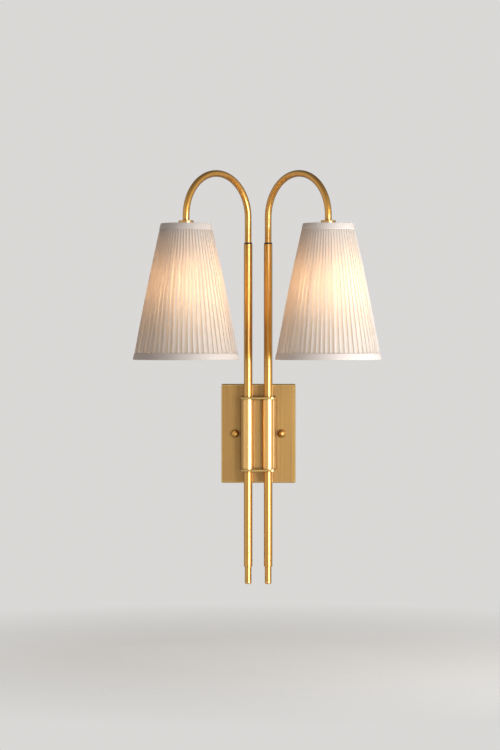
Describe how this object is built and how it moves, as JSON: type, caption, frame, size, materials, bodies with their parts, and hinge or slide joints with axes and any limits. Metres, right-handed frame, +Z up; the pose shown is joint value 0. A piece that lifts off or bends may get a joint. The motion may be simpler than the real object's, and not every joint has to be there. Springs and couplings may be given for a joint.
{
  "type": "double arm wall sconce",
  "caption": "Wall light with two swivelling bent-tube brass arms on an upright bracket and backplate, each arm carrying a pleated tapered fabric shade over a lamp holder.",
  "frame": {"origin": "centre of the wall box screw pattern, on the wall's surface behind the backplate", "axes": "+Y into the wall, +X to the viewer's right, +Z up along the arms' stems"},
  "size_m": [0.3725, 0.223, 0.6302],
  "materials": {
    "brass": "polished natural brass",
    "brushed_brass": "satin, fine vertical brushing",
    "shade_fabric": "knife-pleated ivory silk, translucent",
    "trim_fabric": "smooth ivory binding tape",
    "liner": "translucent white styrene sheet",
    "frame_wire": "white coated wire",
    "zinc_steel": "zinc plated",
    "green_screw": "green plated",
    "black_steel": "black oxide",
    "black_nylon": "moulded",
    "lead": "insulated lead",
    "phenolic": "black moulded phenolic",
    "bulb_metal": "screw shell",
    "bulb_glass": "soft white, lit"
  },
  "bodies": {
    "wall_bracket": {"mounting_crossbar": "zinc_steel", "ground_screw": "green_screw", "mounting_studs": "zinc_steel", "stud_locknuts": "zinc_steel", "backplate": "brushed_brass", "cap_nuts": "brass", "wire_grommet": "black_nylon", "bracket_block": "brushed_brass", "bracket_screws": "zinc_steel", "upper_flange": "brass", "lower_flange": "brass", "flange_screws": "brass", "left_column": "brass", "left_sleeve": "brass", "left_upper_bush": "black_nylon", "left_lower_bush": "black_nylon", "right_column": "brass", "right_sleeve": "brass", "right_upper_bush": "black_nylon", "right_lower_bush": "black_nylon"},
    "left_swing_arm": {"left_arm": "brass", "left_stem_plug": "brass", "left_retaining_ring": "black_steel", "left_lead": "lead", "left_shade_cap": "brass", "left_nipple": "zinc_steel", "left_nipple_nut": "zinc_steel", "left_socket_husk": "brass", "left_socket": "phenolic", "left_bulb_base": "bulb_metal", "left_bulb_glass": "bulb_glass", "left_shade_frame": "frame_wire", "left_shade_ring": "frame_wire", "left_shade_liner": "liner", "left_shade_cover": "shade_fabric", "left_top_trim": "trim_fabric", "left_bottom_trim": "trim_fabric"},
    "right_swing_arm": {"right_arm": "brass", "right_stem_plug": "brass", "right_retaining_ring": "black_steel", "right_lead": "lead", "right_shade_cap": "brass", "right_nipple": "zinc_steel", "right_nipple_nut": "zinc_steel", "right_socket_husk": "brass", "right_socket": "phenolic", "right_bulb_base": "bulb_metal", "right_bulb_glass": "bulb_glass", "right_shade_frame": "frame_wire", "right_shade_ring": "frame_wire", "right_shade_liner": "liner", "right_shade_cover": "shade_fabric", "right_top_trim": "trim_fabric", "right_bottom_trim": "trim_fabric"}
  },
  "joints": [
    {"name": "left_arm_swivel", "type": "hinge", "parent": "wall_bracket", "child": "left_swing_arm", "pos_m": [-0.0153, -0.0501, 0.2905], "axis": [0, 0, -1], "range_deg": [-12, 28]},
    {"name": "right_arm_swivel", "type": "hinge", "parent": "wall_bracket", "child": "right_swing_arm", "pos_m": [0.0153, -0.0501, 0.2905], "axis": [0, 0, 1], "range_deg": [-12, 28]}
  ]
}
